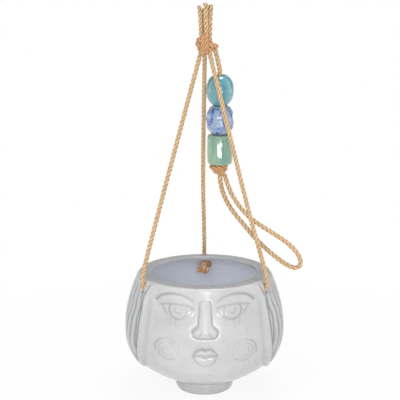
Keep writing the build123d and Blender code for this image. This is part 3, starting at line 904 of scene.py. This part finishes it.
def lip_heights(side, drop):
    """The upper and the lower lip."""
    top, line, low = (read_at(drawn, side) for drawn in (LIP_TOP, LIP_LINE, LIP_LOW))
    upper = np.clip((drop - top) / np.maximum(line - top, 0.2), 0, 1)
    lower = np.clip((drop - line) / np.maximum(low - line, 0.2), 0, 1)
    narrow = np.clip(1 - (side / LIP_END) ** 4, 0, 1)
    for rise, share in ((2.1, upper), (2.5, lower)):
        yield rise * narrow * np.sqrt(np.sin(math.pi * share).clip(0)) * (side < LIP_END)


def cheek_spiral(x, d, turn, across, drop):
    """The spiral drawn on a cheek, deeper towards its outer end and the cheek's outer side."""
    angle = np.linspace(0, SPIRAL_TURNS * 2 * math.pi, 90)
    out = SPIRAL_INNER + SPIRAL_GAIN * (angle / angle[-1]) ** 0.9
    angle = angle - SPIRAL_START
    spiral = np.stack([x + turn * out * np.cos(angle), d + out * np.sin(angle)], axis=1)
    near = np.hypot(across - x, drop - d) < SPIRAL_REACH
    gap, share = np.full(across.shape, 9.0), np.zeros(across.shape)
    gap[near], share[near] = gap_to(spiral, across[near], drop[near])
    outer = 0.35 + 0.65 * step(-6.0, 6.0, turn * (across - x) + 0.6 * (drop - d))
    return groove(gap, 1.5) * (0.25 + 0.4 * share) * outer


def face_height(across, drop):
    """The drawn and raised face: height over the wall, and how deep each spot is cut, which also darkens the
    glaze there for pooling and painted shade.
    """
    side = np.abs(across - FACE_MIDDLE)
    rise, cut = eye_height(side, drop)
    nose, below = nose_height(side, drop)
    rise = rise * below + nose
    for lip in lip_heights(side, drop):
        rise += lip
    for points, width, wider, depth, deeper in DRAWN_LINES:
        gap, share = gap_to(points, side, drop)
        cut = np.maximum(cut, groove(gap, width + wider * share) * (depth + deeper * share))
    for x, d, turn in CHEEKS:
        reach = np.hypot(across - x, drop - d)
        rise += CHEEK_RISE * np.clip(1 - (reach / CHEEK_RADIUS) ** 2, 0, 1)
        cut = np.maximum(cut, cheek_spiral(x, d, turn, across, drop))
    return rise - cut, cut


def hair_height(azimuth, drop, gap):
    """Combed hair: a smooth band along the parting, and waved locks that run together at the cord holes."""
    spread = 0.24 * (1 - 0.75 * step(8, 62, drop))
    from_back = np.radians(azimuth - 90.0)
    turned = azimuth + np.degrees(spread * np.sin(3 * from_back))
    wave = sum(
        size * np.sin(drop / pitch + np.radians(azimuth) * shift) for size, pitch, shift in HAIR_WAVES
    )
    place = (turned + wave * step(6, 26, drop)) * LOCKS / 360.0
    along = place - np.floor(place)
    from_middle = np.abs(2 * along - 1)
    lock = 1 - from_middle ** 3.2
    fine = 0.10 * np.cos(along * 6 * math.pi)
    thick = read_at(HAIR_THICK, drop)
    deep = read_at(LOCK_DEPTH, drop)
    behind = step(BAND_WIDTH - 1.2, BAND_WIDTH + 0.8, gap)
    locks = thick - deep * (1 - lock) + fine
    band = thick * (1.05 + 0.25 * np.sin(math.pi * np.clip(gap / BAND_WIDTH, 0, 1)))
    seam = groove(gap - BAND_WIDTH, 2.0) * deep * 1.1
    height = band + (locks - band) * behind - seam
    end = HAIR_END - 2.2 * from_middle ** 2.5 * behind
    on_left = step(170, 185, azimuth) * (1 - step(238, 250, azimuth))
    soft = 1.6 * (1 - behind) + 3.0 * on_left
    kept = 1 - step(end - 0.7 - 2.2 * soft, end + 0.9 + 1.2 * soft, drop)
    started = step(0.4, 3.2, drop)
    # Darker glaze in the grooves between locks and at the band's seam: pooling, plus painted shade.
    hollow = np.clip(deep * (1 - lock) * behind + seam, 0, 1.2) * 1.05
    # Darker glaze in a line just below the hair's lower end, where it steps down: pooling, plus painted shade
    # under the step.
    under = groove(drop - end - 0.9, 2.0) * 0.6
    return height * kept * started, np.maximum(hollow * kept * started, under)


def outside_relief(radius, drop, turn):
    """Face and hair together: height over the plain wall, and how dark each spot's glaze is made: pooling and
    painted shade in the grooves, and painted shadow beside the hair band.
    """
    from_front = np.degrees(np.abs(np.angle(np.exp(1j * turn))))
    parting = read_at(PARTING, drop)
    parted_at = np.degrees(np.arcsin(np.clip(parting / np.maximum(radius, 1), -1, 1)))
    parted_at = np.where(parting >= radius, 90.0, parted_at)
    gap = np.radians(from_front - parted_at) * radius
    face, face_pool_and_shade = face_height(radius * np.sin(turn), drop)
    compass = (np.degrees(turn) - 90.0) % 360.0
    hair, hair_pool_and_shade = hair_height(compass, drop, gap)
    haired = step(-3.2, 1.8, gap)
    in_front = from_front < 88
    height = np.where(in_front, face * (1 - step(-3.5, -0.5, gap)), 0) + hair * haired
    hollow = np.maximum(np.where(in_front, face_pool_and_shade * (1 - haired), 0), hair_pool_and_shade * haired)
    # Painted shadow on the face along the inner edge of the hair band.
    shadow_beside_hair = groove(gap + 2.2, 5.0) * 0.30 * step(8, 20, drop) * (1 - step(80, 86, drop))
    ends = step(0.0, 2.5, drop) * (1 - step(99.0, 103.0, drop))
    return height * ends, np.maximum(hollow, shadow_beside_hair)


def turned_skin(profile, rows, azimuth, inward):
    """Points and marks of the rim and inside, or of the foot, but not the row shared with the outside."""
    line = smooth_line(profile, rows)[1:]
    r = np.repeat(line[:, :1], len(azimuth), axis=1)
    d = np.repeat(line[:, 1:], len(azimuth), axis=1)
    if inward:
        wobble = 0.12 * np.sin(3 * azimuth + 0.6) + 0.08 * np.sin(7 * azimuth)
        r = r + wobble[None, :] * (d < 40)
    points = np.stack([r * np.sin(azimuth), -r * np.cos(azimuth), RIM_Z - d], axis=2)
    # Painted shadow along the inner edge of the rim, strongest on the front right; shaded sets its strength
    # round the bowl.
    shaded = 0.35 + 0.95 * step(0.1, 0.9, azimuth) * (1 - step(1.75, 2.3, azimuth))
    inner_edge_shadow = step(0.1, 0.9, d) * (1 - step(2.6, 4.2, d)) * (r < 51.0) * inward
    # The rim's top, greyed for thin glaze and for painted shade.
    on_rim = (1 - step(0.4, 1.6, d)) * step(49.2, 50.6, r) * (1 - 0.5 * step(60.0, 61.2, r))
    marks = {
        "hollow": inner_edge_shadow * shaded * (1 - step(1.9, 2.4, np.abs(azimuth))),
        # Where the inside is painted lighter and cooler, in place of light.
        "inside": step(0.8, 4.0, d) * inward,
        "lip": on_rim * inward,
    }
    return points, marks


def turned_faces(outside_row, start, rows, half, inward):
    """Faces of a turned skin with half the outside's columns: a strip from the outside, rings, and an end."""
    faces = []
    for j in range(half):
        a, b, c = outside_row + 2 * j, outside_row + 2 * j + 1, outside_row + (2 * j + 2) % (2 * half)
        near, far = start + j, start + (j + 1) % half
        faces += [(a, b, near), (b, c, far), (b, far, near)]
    faces += ring_quads(start, rows, half)
    last = start + (rows - 1) * half
    faces.append(tuple(range(last, last + half)))
    return faces if inward else [tuple(reversed(face)) for face in faces]


def glazed_bowl():
    """The bowl as one closed mesh: a fine outside with the face and hair, and the rim, inside and foot."""
    front = np.linspace(-FACE_REACH, FACE_REACH, FACE_COLUMNS)
    back = np.linspace(FACE_REACH, 360.0 - FACE_REACH, BACK_COLUMNS)[1:-1]
    azimuth = np.radians(np.concatenate([front, back]))
    half = len(azimuth) // 2
    azimuth = azimuth[:2 * half]
    wall = smooth_line(WALL, WALL_ROWS)
    along = np.gradient(wall, axis=0)
    along /= np.linalg.norm(along, axis=1)[:, None]
    out_r, out_d = along[:, 1], -along[:, 0]
    turn = np.repeat(azimuth[None, :], len(wall), axis=0)
    radius = np.repeat(wall[:, :1], len(azimuth), axis=1)
    drop = np.repeat(wall[:, 1:], len(azimuth), axis=1)
    height, hollow = outside_relief(radius, drop, turn)
    radius = radius + height * out_r[:, None]
    drop = drop + height * out_d[:, None]
    points = [np.stack([radius * np.sin(turn), -radius * np.cos(turn), RIM_Z - drop], axis=2).reshape(-1, 3)]
    marks = {"hollow": [hollow.ravel()], "inside": [np.zeros(hollow.size)], "lip": [np.zeros(hollow.size)]}
    faces = [(a, d, c, b) for a, b, c, d in ring_quads(0, len(wall), len(azimuth))]
    last_row = (len(wall) - 1) * len(azimuth)
    start = len(wall) * len(azimuth)
    skins = ((INSIDE, INSIDE_ROWS, 0, True), (FOOT, FOOT_ROWS, last_row, False))
    for profile, rows, outside_row, inward in skins:
        skin, skin_marks = turned_skin(profile, rows, azimuth[::2], inward)
        points.append(skin.reshape(-1, 3))
        for name, values in skin_marks.items():
            marks[name].append(values.ravel())
        faces += turned_faces(outside_row, start, len(skin), half, inward)
        start += len(skin) * half
    marks = {name: np.concatenate(values) for name, values in marks.items()}
    piece = make_piece("glazed_bowl", np.concatenate(points), faces, BOWL_GLAZE, marks=marks)
    bore_cord_holes(piece)
    stand_for(piece, "planter", "glaze", "planter_bowl")


def bore_cord_holes(piece):
    """The three holes for the hanger cords, drilled a little downwards through the wall."""
    points, faces = [], []
    around = [2 * math.pi * j / HOLE_SIDES for j in range(HOLE_SIDES)]
    for azimuth in HOLES.values():
        outward, level, above = hole_directions(azimuth)
        mouth = at_azimuth(azimuth, *HOLE_MOUTH)
        start = len(points)
        for depth in HOLE_ENDS:
            for angle in around:
                ring = (level * math.cos(angle) + above * math.sin(angle)) * HOLE_RADIUS
                points.append(mouth + outward * depth + ring)
        faces += [(a, d, c, b) for a, b, c, d in ring_quads(start, 2, HOLE_SIDES)]
        faces.append(tuple(range(start, start + HOLE_SIDES)))
        faces.append(tuple(reversed(range(start + HOLE_SIDES, len(points)))))
    drill = make_piece("drill", points, faces, BOWL_GLAZE)
    cut = piece.modifiers.new("cord_holes", "BOOLEAN")
    cut.operation = "DIFFERENCE"
    cut.solver = "EXACT"
    cut.object = drill
    plain_mesh(piece)
    bpy.data.objects.remove(drill)


# The studio, in metres and watts: each lamp's place, what it is aimed at, its width and height, and its power
LAMPS = {
    "key_lamp": ((-0.45, -1.5, 0.95), (0.0, 0.0, -0.24), (1.0, 0.8), 6.0),
    "front_strip": ((0.10, -1.62, 0.0), (0.0, 0.0, -0.20), (0.07, 1.0), 5.0),
    "low_lamp": ((0.0, -1.1, -0.30), (0.0, 0.0, -0.32), (0.8, 0.12), 5.0),
    "left_strip": ((-1.25, 0.10, 0.0), (0.0, 0.0, -0.22), (0.40, 1.2), 2.2),
    "right_strip": ((1.25, 0.10, 0.0), (0.0, 0.0, -0.22), (0.40, 1.2), 2.2),
    "top_lamp": ((0.10, -0.05, 1.1), (0.0, 0.0, -0.22), (0.5, 0.5), 8.0),
}
AIR_COLOUR, AIR_STRENGTH = (0.98, 0.99, 1.0, 1), 0.48
FLOOR_GREY = (0.86, 0.86, 0.86, 1)
WHITE = (1, 1, 1, 1)
FLOOR_REACH = 9000.0  # millimetres
CAMERA_PLACE = (-0.0042, -1.2386, 0.1266)
CAMERA_PITCH = 12.74  # degrees below level


def pale_floor():
    """A floor that takes the object's shadow near it and fades to white further out."""
    floor = Finish("pale_floor")
    rays = floor.node("ShaderNodeLightPath", out="Is Camera Ray")
    mirrored = floor.node("ShaderNodeLightPath", out="Is Glossy Ray")
    through = floor.node("ShaderNodeLightPath", out="Is Transmission Ray")
    seen = rays.sum("MAXIMUM", rays.sum("MAXIMUM", rays, mirrored), through)
    matte = floor.node("ShaderNodeBsdfDiffuse", {}, {"Color": FLOOR_GREY})
    white = floor.node("ShaderNodeEmission", {}, {"Color": WHITE, "Strength": 1.0})
    away = floor.node("ShaderNodeVectorMath", {"operation": "LENGTH"}, {0: floor.place()}, out="Value")
    fade = floor.ramp(away * 0.5, [(0.0, 0.72), (0.26, 1.0)])
    both = floor.node("ShaderNodeMixShader", {}, {0: seen * fade, 1: matte, 2: white})
    floor.node("ShaderNodeOutputMaterial", {}, {"Surface": both})
    low = cad_box[0][2] / MM
    sides = ((-1, -1), (1, -1), (1, 1), (-1, 1))
    corners = [(x * FLOOR_REACH, y * FLOOR_REACH, low) for x, y in sides]
    make_piece("pale_ground", corners, [(0, 1, 2, 3)], floor.owner)


def studio_air():
    """Soft light from all round, and a white backdrop that only the camera sees."""
    air = Finish("studio_air", bpy.data.worlds.new)
    seen = air.node("ShaderNodeLightPath", out="Is Camera Ray")
    soft = air.node("ShaderNodeBackground", {}, {0: AIR_COLOUR, 1: AIR_STRENGTH})
    backdrop = air.node("ShaderNodeBackground", {}, {0: WHITE, 1: 1.0})
    both = air.node("ShaderNodeMixShader", {}, {0: seen, 1: soft, 2: backdrop})
    air.node("ShaderNodeOutputWorld", {}, {"Surface": both})
    bpy.context.scene.world = air.owner


def studio_lamps():
    for name, (place, target, (wide, tall), power) in LAMPS.items():
        lamp = bpy.data.lights.new(name, "AREA")
        lamp.shape = "RECTANGLE"
        lamp.size = wide
        lamp.size_y = tall
        lamp.energy = power
        holder = put_in_scene(name, lamp)
        holder.location = place
        holder.rotation_euler = (Vector(target) - Vector(place)).to_track_quat("-Z", "Y").to_euler()


def photo_camera():
    """The camera of the photo, in front of the planter and looking a little down on it."""
    lens = bpy.data.cameras.new("photo_camera")
    lens.lens = 123.2
    lens.sensor_width = 36.0
    lens.clip_end = 50.0
    camera = put_in_scene("photo_camera", lens)
    camera.location = CAMERA_PLACE
    camera.rotation_euler = (math.radians(90.0 - CAMERA_PITCH), 0.0, 0.0)
    bpy.context.scene.camera = camera


bpy.context.scene.view_settings.view_transform = "Standard"
photo_camera()
hanger_cords()
frayed_ends()
bead_cord_runs()
hanging_loop()
gathering_knot()
stopper_knots()
bead_knot()
beads()
glazed_bowl()
pale_floor()
studio_air()
studio_lamps()
